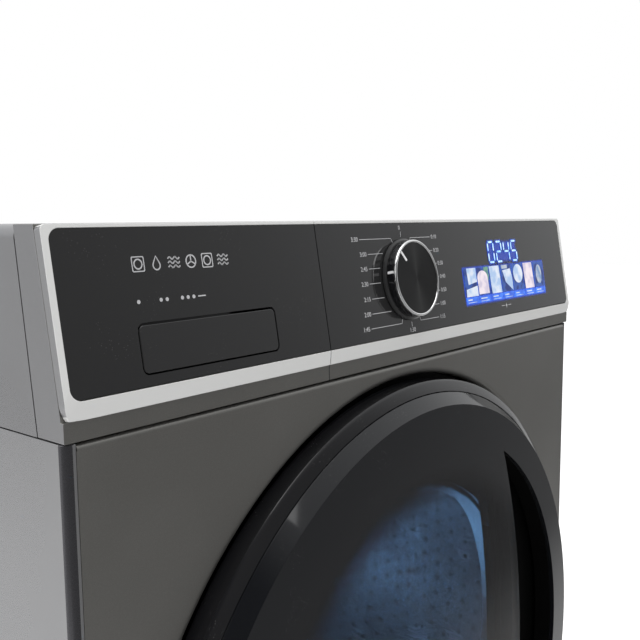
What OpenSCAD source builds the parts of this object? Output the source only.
// Front-loading heat-pump clothes dryer, built as an assembly of separate pieces.
// Millimetres, +X right, +Z up, the door faces -Y. The origin is on the floor at the centre of the footprint.

/* [Cabinet] */
// Width of the cabinet
body_w = 595; // [560:1:640]
// Height from the floor to the top
body_h = 845; // [825:1:900]
// Depth from the front panel to the rear panel
body_d = 565; // [545:1:640]
// Thickness of the sheet metal
sheet = 1.5; // [1:0.1:2]
// Radius of the two vertical front corners
corner_r = 6.5; // [5:0.5:9]
// Radius of the rolled top edge of the front panel
roll_r = 3.5; // [2.5:0.5:5]
// Gap between neighbouring outer pieces
seam = 0.8; // [0.6:0.1:1.2]
// Height of the underside of the base above the floor
base_z = 18; // [16:1:24]
// Height of the kick panel's top edge
plinth_top = 156; // [152:1:158]
// Radius of the long edges of the lid
lid_edge_r = 7; // [5:0.5:10]
// Wall of the lid
lid_wall = 2; // [1.5:0.1:2.5]

/* [Fascia] */
// Height of the fascia and of the lid's skirt
fascia_h = 107; // [104:1:112]
// Height of the flat strip under the bright trim
strip_h = 11; // [9:0.5:12]
// Height of the bright chamfer under the black face
chamfer_h = 9.7; // [8:0.1:11]
// How far the chamfer stands in front of the front panel
face_out = 2.1; // [1.5:0.1:3]
// Angle at which the black face leans back
lean = 9.5; // [8:0.5:11]
// Thickness of the bright trim
trim_t = 5.6; // [5:0.1:6]
// Width of the trim at the outer ends
trim_end_w = 4; // [3:0.5:6]
// Width of the trim along the top
trim_top_w = 2; // [1.5:0.5:3]
// Depth of the fascia's side return at its lower edge
return_low = 23; // [20:1:26]
// Depth of the fascia's side return at its upper edge
return_high = 36; // [33:1:40]
// Width of the water-container drawer front
drawer_w = 203.6; // [196:0.2:206]
// Wall of the fascia's plastic carriers
carrier_wall = 2; // [1.5:0.1:2.5]

/* [Drawer flap] */
// Width of the grip flap's opening
grip_w = 106; // [90:1:120]
// Height of the grip flap's opening, measured along the face
grip_h = 27.9; // [24:0.1:32]
// Height of the opening above the face's lower edge
grip_up = 6.4; // [5:0.1:10]
// Depth of the grip pocket behind the face
grip_depth = 16.4; // [16:0.1:18]

/* [Programme knob] */
// Radius of the knob
knob_r = 29; // [24:0.5:32]
// How far the knob stands out
knob_len = 11; // [9:0.5:16]
// Knob's centre, to the right of the machine's middle
knob_x = 6; // [0:0.5:12]
// Height of the knob's centre above the face's lower edge
knob_up = 42; // [40:0.1:46]
// Radius of the selector's shaft
shaft_r = 3; // [2.5:0.1:4]

/* [Door] */
// Height of the door's centre
door_z = 450; // [446:1:454]
// Radius of the round recess's edge in the front panel
dish_r = 281.6; // [278:0.1:284]
// Radius of the recess's rolled edge
dish_roll = 6; // [5:0.5:6.5]
// Depth of the recess
dish_depth = 13; // [12.5:0.5:14]
// Radius of the door's rim
rim_r = 272; // [268:0.1:272.5]
// Radius of the smoked face
face_r = 262.6; // [258:0.1:263]
// Radius at which the face's bevel ends
bevel_r = 254; // [248:0.1:255]
// How far the middle of the door stands in front of the front panel
door_bulge = 28; // [26:0.5:32]
// Thickness of the smoked face
face_t = 4; // [3:0.5:5]
// Radius of the loading opening
throat_r = 200; // [196:1:202]
// Depth of the glass bowl behind the front panel
bowl_depth = 99; // [80:1:110]
// Thickness of the glass bowl
bowl_t = 4; // [3:0.5:5]
// Radius of the grip recess's outer edge
crescent_r = 227; // [215:1:229]
// Radius of the grip recess's inner edge
crescent_in_r = 563; // [500:1:600]
// Width of the grip recess at its middle
crescent_w = 79; // [60:1:82]

/* [Door hinge] */
// Distance of the hinge pin from the door's centre
hinge_x = 258; // [256:0.5:259]
// Distance of the hinge pin in front of the front panel
hinge_out = 10; // [9.5:0.1:10.5]
// Radius of the hinge pin
pin_r = 2; // [1.5:0.1:2.2]
// Distance from the door's centre line to each hinge lug
lug_z = 30; // [26:1:30]
// Height of each hinge lug
lug_h = 10; // [8:1:10]

/* [Drum] */
// Radius of the drum
drum_r = 283; // [270:0.5:284]
// Height of the drum's axis
drum_z = 460; // [458:1:461]
// Distance from the front panel to the drum's front wall
drum_front = 44; // [43:1:46]
// Length of the drum
drum_len = 456; // [420:1:456]
// Radius of the drum's front opening
drum_mouth_r = 226; // [222:1:228]
// Height of the lifters inside the drum
lifter_h = 46; // [30:1:50]
// Radius of the drum's shaft
drum_shaft_r = 12; // [10:0.5:14]
// Radius of the two support rollers
roller_r = 20; // [16:0.5:22]
// Angle of each support roller from straight down
roller_angle = 35; // [30:1:36]

/* [Drive and heat pump] */
// Distance of the motor's axis to the right of the middle
motor_x = 50; // [45:1:55]
// Height of the motor's axis
motor_z = 98; // [96:1:98]
// Radius of the motor
motor_r = 52; // [46:1:54]
// Radius of the motor's pulley
pulley_r = 12; // [10:0.5:14]
// Radius of the motor's shaft
motor_shaft_r = 6; // [5:0.5:7]
// Radius of the fan wheel
fan_r = 66; // [58:1:68]
// Radius of the compressor
compressor_r = 62; // [54:1:64]
// Width of the air channel in the base
channel_w = 218; // [200:1:220]
// Number of fins drawn on each heat exchanger
fins = 18; // [12:1:24]

/* [Service opening] */
// Width of the service flap
service_w = 226; // [200:1:228]
// Height of the service flap
service_h = 112; // [100:1:114]
// Radius of the service flap's hinge edge
knuckle_r = 4; // [3:0.5:4.5]

/* [Water container] */
// Length of the water container
tank_len = 461; // [400:1:466]
// Height of the water container
tank_h = 82; // [70:1:84]
// Wall of the water container
tank_wall = 2.2; // [1.5:0.1:3]

/* [Feet] */
// Radius of each foot's pad
foot_r = 22; // [18:1:24]
// Radius of each foot's threaded stem
stem_r = 5; // [4:0.5:6]

/* [Clearances] */
// Radial clearance of a shaft or pin in its bore
run_fit = 0.05; // [0.02:0.01:0.1]
// Gap between a moving piece and what it passes
play = 1; // [0.8:0.1:1.2]
// Height of the drum's bulge at the rear
rear_bulge = 20; // [14:1:26]

/* [Hidden] */
$fa = 4;
$fs = 1.2;

// Colours
dark_silver = [0.33, 0.33, 0.34];
satin_silver = [0.72, 0.72, 0.71];
black_gloss = [0.06, 0.06, 0.065];
black_satin = [0.10, 0.10, 0.105];
plastic_grey = [0.55, 0.56, 0.58];
dark_grey = [0.2, 0.2, 0.21];
steel = [0.75, 0.76, 0.78];
zinc = [0.66, 0.68, 0.70];
copper = [0.72, 0.42, 0.25];
rubber_black = [0.04, 0.04, 0.04];
smoked = [0.10, 0.11, 0.13, 0.6];
clear_plastic = [0.8, 0.85, 0.88, 0.5];

// Main planes
half_w = body_w / 2;
front_y = door_bulge - (body_d + door_bulge + rear_bulge) / 2;
rear_y = front_y + body_d;
seam_z = body_h - fascia_h;
inner_w = half_w - sheet;

// Fascia: the side seam slants back from return_low to return_high
seam_slope = (return_high - return_low) / fascia_h;
face_len = (fascia_h - strip_h - chamfer_h) / cos(lean) - trim_top_w;
trim_len = face_len + trim_top_w;
face_y = front_y - face_out;
face_z = seam_z + strip_h + chamfer_h;
split_x = drawer_w - half_w;
plate_t = 3;
face_inset = 0.4;
face_back = face_inset + plate_t;
face_corner_r = 6;
grip_x = (split_x - half_w - grip_w) / 2;
grip_gap_top = 2;
flap_t = 2.5;
flap_edge_r = 2;
flap_pin_r = 1.2;
flap_axis_z = grip_up + grip_h - grip_gap_top - flap_edge_r;
flap_axis_y = face_inset + flap_edge_r;

// Door: the grip recess is a crescent between two arcs
crescent_c = crescent_r - crescent_w - crescent_in_r;
face_edge_out = 14.2;
bevel_out = door_bulge - 4;
web_b = -8;
web_t = 3;
door_back = dish_depth - 1.5;
liner_t = 3.5;
bowl_flange_r = 214;
bowl_mouth_r = throat_r - 11.5;
cup_floor = -2;
cup_wall = 2;
cup_undercut = 11;
pocket_h = 2 * lug_z + 2 * lug_h;
knuckle_in_door = 4.5;
arm_t = 4;
cheek_h = 8;
arm_reach = 26;

// Panels
panel_half = half_w - corner_r - 0.5;
flange_b = 22;
service_x0 = -(half_w - 19.5);
service_z0 = base_z + 12;
service_pin_r = 1.5;
lock_x0 = 249;
lock_x1 = 260;
hook_x0 = 251;
hook_x1 = 257;
gland_x = 230;
gland_z = 690;
gland_r = 11;
lead_r = 4.2;
screw_r = 1.9;
screw_places = [for (x = [-270, 270], z = [40, 240, 640, 715]) [x, z]];
vent_h = 5;
vent_pitch = 14;

// Drum and drive
drum_wall = 1.5;
drum_back_b = drum_front + drum_len;
rear_plate_b = drum_back_b + 15;
rear_plate_t = 2;
roller_dist = drum_r + 0.3 + roller_r;
roller_x = roller_dist * sin(roller_angle);
roller_z = drum_z - roller_dist * cos(roller_angle);
belt_b = 236;
belt_w = 10;
belt_gap = 0.3;
belt_t = 2;
collar_out_r = throat_r + 12;
bulkhead_b = 26;
bulkhead_t = 3;
filter_w = 220;
filter_t = 12;
filter_b = 19;
filter_z0 = 162;
slot_top = door_z - throat_r - 0.5;
filter_top = slot_top - 9;
slot_wall = 2;

// Base
tray_t = 3;
tray_b0 = 12;
tray_z = base_z + tray_t;
channel_x1 = -62;
channel_x0 = channel_x1 - channel_w;
channel_b0 = 39;
channel_b1 = 360;
channel_top = 152;
lever_x = [channel_x0 + 32, channel_x1 - 32];
lever_z = 100;
lever_pin_r = 4;
foot_x = half_w - 35.5;
foot_b = [20, 530];
compressor_x = 205;
compressor_b = 400;
fan_wall = 2;
fan_b0 = 405;
fan_b1 = 470;

// Tank
bay_x0 = -(half_w - 6.5);
bay_x1 = split_x - 3.1;
bay_z0 = seam_z + 3;
bay_z1 = body_h - 9;
bay_b0 = 45;
bay_b1 = 522;
tank_gap = 3;
tank_front = 29;
tank_z0 = bay_z0 + lid_wall + tank_gap;
cap_x = -150;
cap_b = 90;
filler_len = 60;
filler_b = tank_front + tank_len - filler_len - 15;

function fy(b) = front_y + b;
function seam_b(h) = return_low + seam_slope * h;
function arc(cx, cy, r, a0, a1, n) =
  [for (i = [0 : n]) [cx + r * cos(a0 + (a1 - a0) * i / n), cy + r * sin(a0 + (a1 - a0) * i / n)]];

// ---- Helpers ----

// A shape drawn in the Y-Z plane, extruded from x0 to x1
module extrude_x(x0, x1) {
  translate([x0, 0, 0]) rotate([90, 0, 90]) linear_extrude(x1 - x0) children();
}

// A shape drawn in the X-Z plane, extruded from depth b0 to b1 behind the front panel
module extrude_b(b0, b1) {
  translate([0, fy(b1), 0]) rotate([90, 0, 0]) linear_extrude(b1 - b0) children();
}

// A profile of radius and depth, turned about a line along Y at x, z
module turn(x, z) {
  translate([x, front_y, z]) rotate([-90, 0, 0]) rotate_extrude() children();
}

// A round bar along Y from depth b0 to b1
module rod_b(x, z, r, b0, b1) {
  translate([x, fy(b0), z]) rotate([-90, 0, 0]) cylinder(r = r, h = b1 - b0);
}

// A block from depth b0 to b1
module block(x0, x1, b0, b1, z0, z1) {
  translate([x0, fy(b0), z0]) cube([x1 - x0, b1 - b0, z1 - z0]);
}

// A rectangle with round corners, its lower left corner at the origin
module rounded(w, h, r) {
  translate([r, 0]) square([w - 2 * r, h]);
  translate([0, r]) square([w, h - 2 * r]);
  for (x = [r, w - r], y = [r, h - r]) translate([x, y]) circle(r = r);
}

// Places pieces on the leaning face: X across, Y into the face, Z up along it
module on_face() {
  translate([0, face_y, face_z]) rotate([-lean, 0, 0]) children();
}

// A bar between two points
module bar(p, q, r) {
  d = q - p;
  translate(p) rotate([0, acos(d[2] / norm(d)), atan2(d[1], d[0])]) cylinder(r = r, h = norm(d));
}

// A bent tube through a list of points
module tube(points, r) {
  for (i = [0 : len(points) - 2]) bar(points[i], points[i + 1], r);
  for (i = [1 : len(points) - 2]) translate(points[i]) sphere(r = r);
}

// ---- Cabinet ----

module lid_outline(inset) {
  r = lid_edge_r - inset;
  w = 2 * (half_w - inset);
  top = body_h - inset;
  low = seam_z + seam / 2;
  translate([-w / 2, low]) square([w, top - r - low]);
  translate([r - w / 2, top - 2 * r]) square([w - 2 * r, 2 * r]);
  for (x = [r - w / 2, w / 2 - r]) translate([x, top - r]) circle(r = r);
}

module top_cover() {
  color(dark_silver) difference() {
    extrude_b(return_low, body_d) lid_outline(0);
    extrude_b(return_low - 1, body_d - sheet) lid_outline(lid_wall);
    block(-half_w + lid_wall, half_w - lid_wall, 0, body_d - sheet, seam_z - 1, seam_z + 20);
    extrude_x(-half_w - 1, half_w + 1) polygon([
      [fy(0), seam_z - 10], [fy(seam_b(-10) + seam), seam_z - 10],
      [fy(seam_b(fascia_h + 10) + seam), body_h + 10], [fy(0), body_h + 10]]);
  }
}

module side_section() {
  translate([-half_w, fy(corner_r)]) square([sheet, body_d - corner_r]);
  intersection() {
    translate([-half_w + corner_r, fy(corner_r)]) difference() {
      circle(r = corner_r);
      circle(r = corner_r - sheet);
    }
    translate([-half_w, front_y]) square([corner_r, corner_r]);
  }
  translate([-half_w + corner_r - sheet, front_y + 0.2]) square([sheet, 10]);
}

module side_panel() {
  z0 = base_z;
  z1 = seam_z - seam / 2;
  translate([0, 0, z0]) linear_extrude(z1 - z0) side_section();
  translate([-half_w, fy(flange_b), z1 - sheet]) cube([12, body_d - flange_b - 4, sheet]);
}

module side_panel_left() {
  color(dark_silver) side_panel();
}

module side_panel_right() {
  color(dark_silver) mirror([1, 0, 0]) side_panel();
}

module dish_profile() {
  wall_r = dish_r - dish_roll;
  polygon(concat(
    arc(dish_r, dish_roll, dish_roll, 270, 180, 8),
    [[wall_r, dish_depth], [throat_r + 15, dish_depth], [throat_r + 15, dish_depth + sheet],
     [wall_r + sheet, dish_depth + sheet]],
    arc(dish_r, dish_roll, dish_roll - sheet, 180, 270, 8)));
}

module rolled_top(x0, x1, z) {
  extrude_x(x0, x1) {
    intersection() {
      translate([fy(roll_r), z - roll_r]) difference() {
        circle(r = roll_r);
        circle(r = roll_r - sheet);
      }
      translate([front_y, z - roll_r]) square([roll_r, roll_r]);
    }
    translate([fy(roll_r), z - sheet]) square([16, sheet]);
  }
}

module front_panel() {
  z0 = plinth_top + seam;
  z1 = seam_z - seam;
  color(dark_silver) difference() {
    union() {
      difference() {
        block(-panel_half, panel_half, 0, sheet, z0, z1 - roll_r);
        rod_b(0, door_z, dish_r, -1, sheet + 1);
      }
      rolled_top(-panel_half, panel_half, z1);
      turn(0, door_z) dish_profile();
    }
    block(lock_x0, lock_x1, dish_depth - 1, dish_depth + sheet + 1, door_z - 12, door_z + 12);
  }
}
module plinth() {
  pin_z = service_z0 + knuckle_r;
  color(dark_silver) difference() {
    union() {
      block(-panel_half, panel_half, 0, sheet, base_z, plinth_top);
      block(-panel_half, panel_half, sheet, 10, plinth_top - sheet, plinth_top);
      for (x = [service_x0 - 8, service_x0 + service_w + play])
        block(x, x + 8 - play, 0, 2 * knuckle_r, pin_z - knuckle_r, pin_z + knuckle_r + 2);
    }
    block(service_x0 - play, service_x0 + service_w + play, -1, sheet + 1,
          service_z0 - play, service_z0 + service_h + play);
    for (x = [service_x0 - 6, service_x0 + service_w])
      translate([x, fy(knuckle_r), pin_z]) rotate([0, 90, 0]) cylinder(r = service_pin_r + run_fit, h = 6);
  }
}

module service_flap() {
  pin_z = service_z0 + knuckle_r;
  x1 = service_x0 + service_w;
  color(dark_silver) {
    translate([service_x0, fy(knuckle_r), pin_z]) rotate([0, 90, 0]) cylinder(r = knuckle_r, h = service_w);
    block(service_x0, x1, 0, 3, pin_z, service_z0 + service_h);
    for (x = [service_x0 - 5, x1])
      translate([x, fy(knuckle_r), pin_z]) rotate([0, 90, 0]) cylinder(r = service_pin_r, h = 5);
    block(service_x0 + 20, x1 - 20, 3, 5, service_z0 + service_h - 14, service_z0 + service_h - 8);
  }
}

module rear_panel() {
  w = inner_w - 0.2;
  color(zinc) difference() {
    block(-w, w, body_d - sheet, body_d, base_z, seam_z - seam);
    rod_b(0, drum_z, 180, body_d - 5, body_d + 1);
    rod_b(gland_x, gland_z, gland_r, body_d - 5, body_d + 1);
    for (p = screw_places) rod_b(p[0], p[1], screw_r, body_d - 5, body_d + 1);
    for (i = [0 : 5])
      block(150, 250, body_d - 5, body_d + 1, 70 + vent_pitch * i, 70 + vent_pitch * i + vent_h);
  }
}
module rear_duct_cover() {
  t = sheet;
  d = rear_bulge;
  color(zinc) turn(0, drum_z) translate([0, body_d]) polygon([
    [0, d], [166, d], [180, 6], [183, t], [196, t], [196, 0], [179, 0], [177, 4], [165, d - t], [0, d - t]]);
}

module panel_screws() {
  color(steel) for (p = screw_places) {
    rod_b(p[0], p[1], screw_r - 0.1, body_d - 8, body_d);
    rod_b(p[0], p[1], 4.5, body_d, body_d + 2.2);
  }
}

module mains_inlet() {
  color(black_satin) turn(gland_x, gland_z) polygon([
    [lead_r, body_d - 12], [gland_r - 0.1, body_d - 12], [gland_r - 0.1, body_d], [gland_r + 5, body_d],
    [gland_r + 5, body_d + 3], [10, body_d + 4], [8.5, body_d + 16], [lead_r, body_d + 16]]);
}

// ---- Base ----

module base_tray() {
  w = inner_w;
  rim_t = 2;
  rim_h = 15;
  b1 = body_d - 5;
  color(dark_grey) difference() {
    union() {
      block(-w, w, tray_b0, b1, base_z, tray_z);
      block(-w, rim_t - w, 44, b1, tray_z, tray_z + rim_h);
      block(w - rim_t, w, 44, b1, tray_z, tray_z + rim_h);
      block(-w, w, b1 - rim_t, b1, tray_z, tray_z + rim_h);
      for (x = [channel_x0 - 2, channel_x1])
        block(x, x + 2, channel_b0, channel_b1, tray_z, channel_top);
      for (x = [-foot_x, foot_x], b = foot_b)
        translate([x, fy(b), tray_z - 0.1]) cylinder(r = stem_r + 4, h = 17.1);
    }
    for (x = [-foot_x, foot_x], b = foot_b)
      translate([x, fy(b), base_z - 1]) cylinder(r = stem_r + run_fit, h = 30);
  }
}

module foot(x, b) {
  color(rubber_black) translate([x, fy(b), 0]) {
    cylinder(r = foot_r, h = 8);
    translate([0, 0, 8]) cylinder(r = 12, h = 5, $fn = 6);
    cylinder(r = stem_r, h = base_z + 18);
  }
}

module foot_front_left() {
  foot(-foot_x, foot_b[0]);
}

module foot_front_right() {
  foot(foot_x, foot_b[0]);
}

module foot_rear_left() {
  foot(-foot_x, foot_b[1]);
}

module foot_rear_right() {
  foot(foot_x, foot_b[1]);
}

module heat_exchanger(b0, b1) {
  x0 = channel_x0 + 3;
  w = channel_w - 6;
  z0 = tray_z + 2;
  z1 = channel_top - 4;
  pitch = w / fins;
  for (i = [0 : fins]) block(x0 + i * (w - 1) / fins, x0 + i * (w - 1) / fins + 1, b0, b1, z0, z1);
  for (b = [b0 + 15 : 30 : b1 - 10], z = [z0 + 20 : 28 : z1 - 10])
    translate([x0, fy(b), z]) rotate([0, 90, 0]) cylinder(r = 4.75, h = w);
}

module evaporator() {
  color(steel) heat_exchanger(70, 160);
}

module condenser() {
  color(steel) heat_exchanger(200, 320);
}

module exchanger_cover() {
  color(plastic_grey) {
    block(channel_x0 - 2, channel_x1 + 2, 35, 38.8, tray_z + 1, channel_top);
    block(channel_x0 + 20, channel_x1 - 20, 33, 35, 30, 48);
    for (x = lever_x) rod_b(x, lever_z, lever_pin_r, 26, 35);
  }
}
module cover_lever(x) {
  color("steelblue") difference() {
    union() {
      rod_b(x, lever_z, 9, 28, 34);
      extrude_b(28, 34) translate([x - 6, lever_z - 40]) rounded(12, 46, 5.9);
    }
    rod_b(x, lever_z, lever_pin_r + run_fit, 20, 40);
  }
}

module cover_lever_left() {
  cover_lever(lever_x[0]);
}

module cover_lever_right() {
  cover_lever(lever_x[1]);
}

module compressor() {
  x = compressor_x;
  r = compressor_r;
  color(black_satin) {
    translate([x, fy(compressor_b), 42]) cylinder(r = r, h = 140);
    translate([x, fy(compressor_b), 182]) rotate_extrude() polygon(concat(
      [[0, 0]], [for (p = arc(0, 0, 1, 0, 90, 8)) [r * p[0], 22 * p[1]]]));
    translate([x, fy(compressor_b), 32]) cylinder(r = r - 12, h = 10);
    for (a = [90, 210, 330]) {
      translate([x + (r - 2) * cos(a), fy(compressor_b) + (r - 2) * sin(a), 30]) cylinder(r = 14, h = 4);
      translate([x + (r - 2) * cos(a), fy(compressor_b) + (r - 2) * sin(a), tray_z]) cylinder(r = 8, h = 9);
    }
    translate([x, fy(compressor_b), 30]) cylinder(r = r - 4, h = 4);
  }
}

module refrigerant_pipes() {
  xc = compressor_x;
  bc = fy(compressor_b - compressor_r);
  color(copper) {
    tube([[xc - 20, bc + 4, 140], [xc - 20, fy(214), 140], [channel_x1 + 2, fy(214), 140]], 4);
    tube([[xc + 10, bc + 2, 60], [xc + 10, fy(130), 60], [channel_x1 + 2, fy(130), 60]], 4);
    translate([40, fy(130), 60]) rotate([0, 90, 0]) cylinder(r = 11, h = 80);
  }
}

module condensate_pump() {
  color(plastic_grey) {
    translate([-110, fy(400), tray_z]) cylinder(r = 24, h = 44);
    translate([-110, fy(400), tray_z + 44]) cylinder(r = 14, h = 16);
  }
}

module drain_hose() {
  color(rubber_black) tube([
    [-134, fy(400), 50], [-272, fy(400), 50], [-272, fy(541), 50], [-272, fy(541), 780],
    [-272, fy(bay_b1), 780]], 5);
}

// ---- Bulkheads, drum and drive ----

// The slot that the lint filter stands in
module filter_slot(wall, z0, z1) {
  fx = filter_w / 2 + play + wall;
  block(-fx, fx, filter_b - play - wall, filter_b + filter_t + play + wall, z0, z1);
}

module front_bulkhead() {
  color(plastic_grey) difference() {
    filter_slot(slot_wall, filter_z0 - slot_wall, slot_top);
    filter_slot(0, filter_z0, door_z);
  }
  color(plastic_grey) difference() {
    union() {
      block(-inner_w, inner_w, bulkhead_b, bulkhead_b + bulkhead_t, plinth_top + 4, seam_z - 3);
      rod_b(0, door_z, collar_out_r, 15, 40);
      for (x = [-roller_x, roller_x]) {
        rod_b(x, roller_z, 5, bulkhead_b + 1, 70);
        rod_b(x, roller_z, 9, bulkhead_b + 1, 49);
      }
    }
    rod_b(0, door_z, throat_r, 0, 80);
    filter_slot(slot_wall + 0.3, base_z, door_z);
  }
}

module lint_filter() {
  b0 = filter_b;
  w = filter_w / 2;
  color(plastic_grey) difference() {
    block(-w, w, b0, b0 + filter_t, filter_z0 + play, filter_top);
    block(8 - w, w - 8, b0 + 2, b0 + filter_t - 2, filter_z0 + 10, filter_top + 1);
  }
}

module door_gasket() {
  color(rubber_black) turn(0, door_z) polygon([
    [throat_r + 1, 12.6], [throat_r + 3, 12], [throat_r + 11, 12], [throat_r + 13, 12.6],
    [throat_r + 13, 15], [throat_r + 1, 15]]);
}

module drum_lamp() {
  color(clear_plastic) block(-15, 15, 19, 33, door_z + throat_r - 9, door_z + throat_r - 2);
}

module drum_shell() {
  b0 = drum_front;
  color(steel) turn(0, drum_z) polygon([
    [drum_mouth_r, b0 - 5], [drum_mouth_r + drum_wall, b0 - 5], [drum_mouth_r + drum_wall, b0],
    [drum_r - 3, b0], [drum_r, b0 + 3], [drum_r, drum_back_b], [drum_r - drum_wall, drum_back_b],
    [drum_r - drum_wall, b0 + 3 + drum_wall], [drum_r - 3 - drum_wall, b0 + drum_wall],
    [drum_mouth_r, b0 + drum_wall]]);
}

module drum_back() {
  b = drum_back_b;
  color(steel) difference() {
    union() {
      rod_b(0, drum_z, drum_r - drum_wall, b - 4, b - 2);
      rod_b(0, drum_z, 60, b - 2, b + 6);
      rod_b(0, drum_z, drum_shaft_r, b + 6, b + 42);
    }
    for (ring = [0 : 2], i = [0 : 11 + 6 * ring]) {
      a = 360 * i / (12 + 6 * ring);
      rod_b((110 + 50 * ring) * cos(a), drum_z + (110 + 50 * ring) * sin(a), 9, b - 10, b);
    }
  }
}

module drum_lifters() {
  r = drum_r - drum_wall - 0.05;
  color(plastic_grey) for (a = [30, 150, 270])
    extrude_b(drum_front + 20, drum_back_b - 4) translate([0, drum_z]) rotate(a) intersection() {
      circle(r = r, $fn = 180);
      polygon([[r + 5, -38], [r + 5, 38], [r - 8, 34], [r - lifter_h, 9], [r - lifter_h, -9], [r - 8, -34]]);
    }
}

module rear_bulkhead() {
  b0 = rear_plate_b;
  color(zinc) difference() {
    union() {
      block(-inner_w, inner_w, b0, b0 + rear_plate_t, 56, seam_z - 3);
      rod_b(0, drum_z, 28, b0 - 6, b0 + 24);
    }
    rod_b(0, drum_z, drum_shaft_r + run_fit, b0 - 10, b0 + 30);
    rod_b(motor_x, motor_z, 37, b0 - 10, b0 + 10);
    for (i = [0 : 11]) rod_b(190 * cos(30 * i + 15), drum_z + 190 * sin(30 * i + 15), 24, b0 - 1, b0 + 5);
  }
}

module support_roller(x) {
  color(black_satin) difference() {
    rod_b(x, roller_z, roller_r, 50, 64);
    rod_b(x, roller_z, 5 + run_fit, 40, 80);
    turn(x, roller_z) translate([9, 48]) square([6, 5]);
  }
}

module support_roller_left() {
  support_roller(-roller_x);
}

module support_roller_right() {
  support_roller(roller_x);
}

module motor() {
  color(dark_grey) difference() {
    union() {
      rod_b(motor_x, motor_z, motor_r, 262, 352);
      rod_b(motor_x, motor_z, 30, 254, 360);
      block(motor_x - 40, motor_x + 40, 275, 340, tray_z, motor_z - 30);
    }
    rod_b(motor_x, motor_z, motor_shaft_r + run_fit, 250, 370);
  }
}

module motor_pulley() {
  color(steel) {
    rod_b(motor_x, motor_z, motor_shaft_r, 228, 462);
    rod_b(motor_x, motor_z, pulley_r, 232, 250);
    rod_b(motor_x, motor_z, pulley_r + 4, 231, 233);
    rod_b(motor_x, motor_z, pulley_r + 4, 249, 251);
  }
}

module fan_wheel() {
  color(plastic_grey) difference() {
    union() {
      rod_b(motor_x, motor_z, 14, 412, 460);
      rod_b(motor_x, motor_z, fan_r, 457, 460);
      turn(motor_x, motor_z) translate([fan_r - 8, 412]) square([8, 3]);
      for (i = [0 : 15]) translate([motor_x, 0, motor_z]) rotate([0, 360 / 16 * i, 0])
        translate([fan_r - 10, fy(414), -1]) cube([9, 44, 2]);
    }
    rod_b(motor_x, motor_z, motor_shaft_r, 400, 470);
  }
}

module fan_housing() {
  r = fan_r + 8;
  color(dark_grey) difference() {
    union() {
      rod_b(motor_x, motor_z, r, fan_b0, fan_b1);
      rod_b(motor_x, motor_z, 36, fan_b1 - 1, rear_plate_b);
      block(motor_x - 30, motor_x + 30, fan_b0 + 5, fan_b1 - 5, tray_z, tray_z + 10);
    }
    rod_b(motor_x, motor_z, r - fan_wall, fan_b0 + fan_wall, fan_b1 - fan_wall);
    rod_b(motor_x, motor_z, 45, fan_b0 - 1, fan_b0 + 10);
    rod_b(motor_x, motor_z, 34, fan_b1 - 10, rear_plate_b + 1);
  }
}

module belt_outline(gap) {
  hull() {
    translate([0, drum_z]) circle(r = drum_r + gap, $fn = 180);
    translate([motor_x, motor_z]) circle(r = pulley_r + gap, $fn = 60);
  }
}

module drive_belt() {
  color(rubber_black) extrude_b(belt_b, belt_b + belt_w) difference() {
    belt_outline(belt_gap + belt_t);
    belt_outline(belt_gap);
  }
}

// ---- Door ----

module crescent(grow) {
  intersection() {
    circle(r = crescent_r + grow);
    difference() {
      translate([0, -crescent_r - 20]) square([crescent_r + 20, 2 * crescent_r + 40]);
      translate([crescent_c, 0]) circle(r = crescent_in_r - grow, $fn = 240);
    }
  }
}

module crescent_block(grow, b0, b1) {
  extrude_b(b0, b1) translate([0, door_z]) crescent(grow);
}

module hinge_pocket() {
  z0 = door_z - pocket_h / 2;
  block(-rim_r - 8, -hinge_x, 1 - hinge_out, 20, z0, z0 + pocket_h);
  block(-hinge_x, -hinge_x + arm_reach + 8, -hinge_out - 3.4, 20, z0, z0 + pocket_h);
  translate([-hinge_x, fy(-hinge_out), z0]) cylinder(r = knuckle_in_door + 0.7, h = pocket_h);
}

// The two seats of the hinge pin's ends
module hinge_cheeks(grow) {
  for (z = [door_z - pocket_h / 2 - cheek_h - grow, door_z + pocket_h / 2 - grow])
    block(-hinge_x - 4.5 - grow, -hinge_x + 10 + grow, -hinge_out - 2.8 - grow, web_b + 0.1,
          z, z + cheek_h + 2 * grow);
}

module door_frame() {
  color(black_gloss) difference() {
    union() {
      turn(0, door_z) polygon([
        [rim_r - 10, door_back], [rim_r, 4], [rim_r, -9], [rim_r - 1.6, -11], [face_r + 0.8, -14],
        [face_r + 0.8, web_b], [bowl_flange_r + 1, web_b], [bowl_flange_r + 1, 4],
        [bowl_flange_r + 4, 4], [bowl_flange_r + 4, web_b + web_t], [rim_r - 4, web_b + web_t],
        [rim_r - 4, 2], [rim_r - 13, 8.5], [rim_r - 13, door_back]]);
      crescent_block(cup_wall + cup_undercut, web_b, cup_floor + cup_wall);
      crescent_block(cup_wall, web_b - 12.4, web_b);
      intersection() {
        block(-rim_r, -hinge_x + arm_reach + 12, web_b, door_back, door_z - pocket_h / 2 - 8,
              door_z + pocket_h / 2 + 8);
        turn(0, door_z) translate([face_r - 46, web_b]) square([48, door_back - liner_t - web_b]);
      }
      hinge_cheeks(0);
    }
    crescent_block(0, -door_bulge, cup_floor);
    crescent_block(cup_undercut, web_b + web_t, cup_floor);
    hinge_pocket();
    translate([-hinge_x, fy(-hinge_out), door_z - pocket_h / 2 - 6]) cylinder(r = pin_r, h = pocket_h + 12);
  }
}

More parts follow.
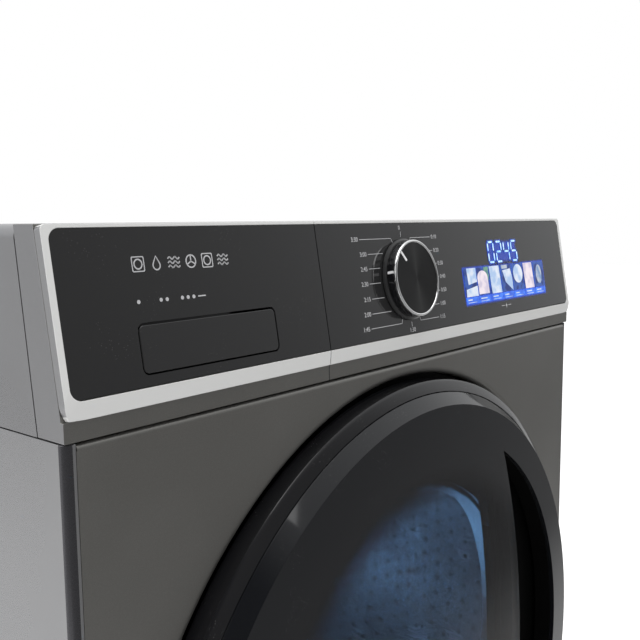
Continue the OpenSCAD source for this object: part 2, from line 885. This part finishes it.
module door_face() {
  t = face_t;
  color(smoked) difference() {
    turn(0, door_z) polygon([
      [0, -door_bulge], [130, -door_bulge + 1], [220, -bevel_out - 1.2], [bevel_r, -bevel_out],
      [face_r, -face_edge_out], [face_r, -face_edge_out + 5], [face_r - 5, -face_edge_out + 5],
      [bevel_r - 4, -bevel_out + t], [220, -bevel_out + t - 1], [130, -door_bulge + t + 1],
      [0, -door_bulge + t]]);
    crescent_block(0, -door_bulge - 5, 0);
    intersection() {
      hinge_pocket();
      block(-rim_r, -hinge_x + 40, -face_edge_out - 2, 0, door_z - 60, door_z + 60);
    }
    hinge_cheeks(0.2);
  }
}

module door_liner() {
  b0 = door_back - liner_t;
  r0 = bowl_mouth_r + 1.5;
  color(plastic_grey) difference() {
    turn(0, door_z) translate([r0, b0]) square([rim_r - 13.5 - r0, liner_t]);
    hinge_pocket();
  }
}

module door_hook() {
  color(steel) {
    block(hook_x0, hook_x1, door_back, dish_depth + sheet + 6, door_z - 8, door_z + 8);
    block(hook_x0, hook_x1, dish_depth + sheet + 2, dish_depth + sheet + 6, door_z - 8, door_z + 11);
  }
}

module door_bowl() {
  m = bowl_mouth_r;
  d = bowl_depth;
  t = bowl_t;
  flange = door_back - liner_t;
  color(smoked) turn(0, door_z) polygon([
    [bowl_flange_r, flange - t], [bowl_flange_r, flange], [m, flange], [m - 1.5, flange + 4],
    [m - 36, d - 12], [m - 48, d - 3], [0, d], [0, d - t], [m - 51, d - t - 3], [m - 40, d - 15],
    [m - 6, flange], [m - 5, flange - t]]);
}

module door_pin() {
  color(steel) translate([-hinge_x, fy(-hinge_out), door_z - pocket_h / 2 - 6])
    cylinder(r = pin_r, h = pocket_h + 12);
}

module hinge_bracket() {
  ax = -hinge_x;
  ab = -hinge_out;
  h2 = lug_h / 2;
  color(steel) {
    for (z = [door_z - lug_z, door_z + lug_z]) difference() {
      union() {
        translate([ax, fy(ab), z - h2]) cylinder(r = knuckle_in_door, h = lug_h);
        block(ax, ax + arm_reach, ab - arm_t / 2, ab + arm_t / 2, z - h2, z + h2);
        block(ax + arm_reach - arm_t, ax + arm_reach, ab, dish_depth, z - h2, z + h2);
      }
      translate([ax, fy(ab), z - lug_h]) cylinder(r = pin_r + run_fit, h = 2 * lug_h);
    }
    block(ax + arm_reach - arm_t, ax + arm_reach, dish_depth - 3, dish_depth, door_z - lug_z, door_z + lug_z);
  }
}

module door_lock() {
  b0 = dish_depth + sheet;
  color(dark_grey) difference() {
    block(242, 270, b0, b0 + 10, door_z - 34, door_z + 34);
    block(lock_x0, lock_x1, b0 - 1, b0 + 8, door_z - 13, door_z + 13);
  }
}

// ---- Fascia and drawer ----

module carrier(x0, x1) {
  g = seam / 2;
  w = carrier_wall;
  back = trim_t / cos(lean) - face_out + 0.1;
  top_b = back + (fascia_h - strip_h - chamfer_h) * tan(lean);
  h1 = strip_h + chamfer_h;
  difference() {
    extrude_x(x0, x1) polygon([for (p = [
      [0, g], [0, strip_h], [back - 1.6, strip_h], [back, h1], [top_b, fascia_h], [return_high, fascia_h],
      [seam_b(g), g]]) [fy(p[0]), seam_z + p[1]]]);
    extrude_x(x0 + w, x1 - w) polygon([for (p = [
      [w, g + w], [back - 1.6 + w, strip_h + 1], [back + w, h1], [top_b + w, fascia_h - w],
      [return_high + 5, fascia_h - w], [return_high + 5, g + w]]) [fy(p[0]), seam_z + p[1]]]);
  }
}

// Bright trim: a chamfer along the bottom and a thin frame around the face
module trim(x0, x1, open0, open1) {
  e = 0.2;
  back = trim_t / cos(lean) - face_out - 0.1;
  extrude_x(x0, x1) polygon([
    [fy(0.5), seam_z + strip_h + e], [fy(-face_out), face_z], [fy(back), face_z],
    [fy(back - 1.6), seam_z + strip_h + e]]);
  on_face() difference() {
    translate([x0, 0, 0]) cube([x1 - x0, trim_t, trim_len]);
    translate([open0, -1, -1]) cube([open1 - open0, trim_t + 2, face_len + 1]);
  }
}

module face_plate(x0, x1) {
  on_face() translate([x0, face_back, 0.8]) rotate([90, 0, 0]) linear_extrude(plate_t)
    square([x1 - x0, face_len - 0.9]);
}

module fascia_carrier() {
  color(dark_silver) difference() {
    carrier(split_x + seam / 2, half_w);
    on_face() translate([knob_x, 0, knob_up]) rotate([-90, 0, 0]) cylinder(r = 18, h = 30);
  }
}

module fascia_trim() {
  color(satin_silver) trim(split_x + seam / 2, half_w, split_x - 5, half_w - trim_end_w);
}

module control_face() {
  color(black_gloss) difference() {
    face_plate(split_x + seam / 2, half_w - trim_end_w - 0.1);
    on_face() translate([knob_x, -1, knob_up]) rotate([-90, 0, 0]) cylinder(r = 8, h = 10);
  }
}

module display_module() {
  color("skyblue") on_face() {
    translate([88, face_back + 0.05, 10]) cube([160, 1.6, 60]);
  }
}

module control_board() {
  color("seagreen") {
    block(-60, 250, 42, 68, seam_z + 20, seam_z + 92);
    on_face() difference() {
      translate([knob_x, trim_t + 3, knob_up]) rotate([-90, 0, 0]) cylinder(r = 14, h = 12);
      translate([knob_x, trim_t, knob_up]) rotate([-90, 0, 0]) cylinder(r = shaft_r + run_fit, h = 13);
    }
  }
}

module program_knob() {
  color(black_gloss) on_face() translate([knob_x, 0, knob_up]) rotate([90, 0, 0]) {
    cylinder(r = knob_r + 2, h = 2.5);
    cylinder(r = knob_r, h = knob_len);
    translate([0, 0, -17]) cylinder(r = shaft_r, h = 18);
  }
}

module drawer_front() {
  x1 = split_x - seam / 2;
  color(dark_silver) {
    difference() {
      carrier(-half_w, x1);
      on_face() translate([grip_x - 3, 0, grip_up - 3]) cube([grip_w + 6, 40, grip_h + 6]);
    }
    block(-half_w + 4.5, x1 - 4, tank_front - 2, tank_front, seam_z + 8, body_h - 1);
  }
}

module drawer_trim() {
  color(satin_silver) trim(-half_w, split_x - seam / 2, -half_w + trim_end_w, split_x + 5);
}

module drawer_face() {
  d = face_back + grip_depth;
  color(black_gloss) difference() {
    union() {
      face_plate(-half_w + trim_end_w + 0.1, split_x - seam / 2);
      on_face() translate([grip_x - 1.5, face_back - 0.1, grip_up - 1.5])
        cube([grip_w + 3, grip_depth + 1.6, grip_h + 3]);
    }
    on_face() translate([grip_x, -1, grip_up]) cube([grip_w, d + 1, grip_h]);
    on_face() translate([grip_x - 1.6, flap_axis_y, flap_axis_z]) rotate([0, 90, 0])
      cylinder(r = flap_pin_r + run_fit, h = grip_w + 3.2);
  }
}

module drawer_flap() {
  color(black_satin) on_face() {
    translate([grip_x + play, face_inset, grip_up + play])
      cube([grip_w - 2 * play, flap_t, flap_axis_z - grip_up - play]);
    translate([grip_x + play, flap_axis_y, flap_axis_z]) rotate([0, 90, 0])
      cylinder(r = flap_edge_r, h = grip_w - 2 * play);
    translate([grip_x - 1.2, flap_axis_y, flap_axis_z]) rotate([0, 90, 0])
      cylinder(r = flap_pin_r, h = grip_w + 2.4);
  }
}

module tank_bay() {
  w = lid_wall;
  color(plastic_grey) difference() {
    block(bay_x0, bay_x1, bay_b0, bay_b1, bay_z0, bay_z1);
    block(bay_x0 + w, bay_x1 - w, bay_b0 - 1, bay_b1 - w, bay_z0 + w, bay_z1 - w);
  }
}

module water_tank() {
  x0 = bay_x0 + lid_wall + tank_gap;
  x1 = bay_x1 - lid_wall - tank_gap;
  t = tank_wall;
  z1 = tank_z0 + tank_h;
  color(clear_plastic) difference() {
    block(x0, x1, tank_front, tank_front + tank_len, tank_z0, z1);
    block(x0 + t, x1 - t, tank_front + t, tank_front + tank_len - t, tank_z0 + t, z1 - t);
    translate([cap_x, fy(cap_b), z1 - 10]) cylinder(r = 14, h = 20);
    block(x0 + 30, x1 - 30, filler_b, filler_b + filler_len, z1 - 10, z1 + 10);
  }
}

module tank_cap() {
  z1 = tank_z0 + tank_h;
  color(plastic_grey) {
    translate([cap_x, fy(cap_b), z1 - 6]) cylinder(r = 14, h = 6);
    translate([cap_x, fy(cap_b), z1]) cylinder(r = 20, h = 2.5);
  }
}

// ---- Nodes ----

top_cover();
side_panel_left();
side_panel_right();
front_panel();
plinth();
rear_panel();
rear_duct_cover();
base_tray();
fascia_carrier();
fascia_trim();
control_face();
display_module();
control_board();
tank_bay();
front_bulkhead();
rear_bulkhead();
door_gasket();
drum_lamp();
motor();
fan_housing();
compressor();
evaporator();
condenser();
refrigerant_pipes();
condensate_pump();
drain_hose();
exchanger_cover();
door_lock();
hinge_bracket();
mains_inlet();
panel_screws();
drive_belt();
door_frame();
door_face();
door_bowl();
door_liner();
door_pin();
door_hook();
drawer_front();
drawer_trim();
drawer_face();
water_tank();
tank_cap();
drawer_flap();
program_knob();
drum_shell();
drum_back();
drum_lifters();
motor_pulley();
fan_wheel();
support_roller_left();
support_roller_right();
lint_filter();
service_flap();
cover_lever_left();
cover_lever_right();
foot_front_left();
foot_front_right();
foot_rear_left();
foot_rear_right();
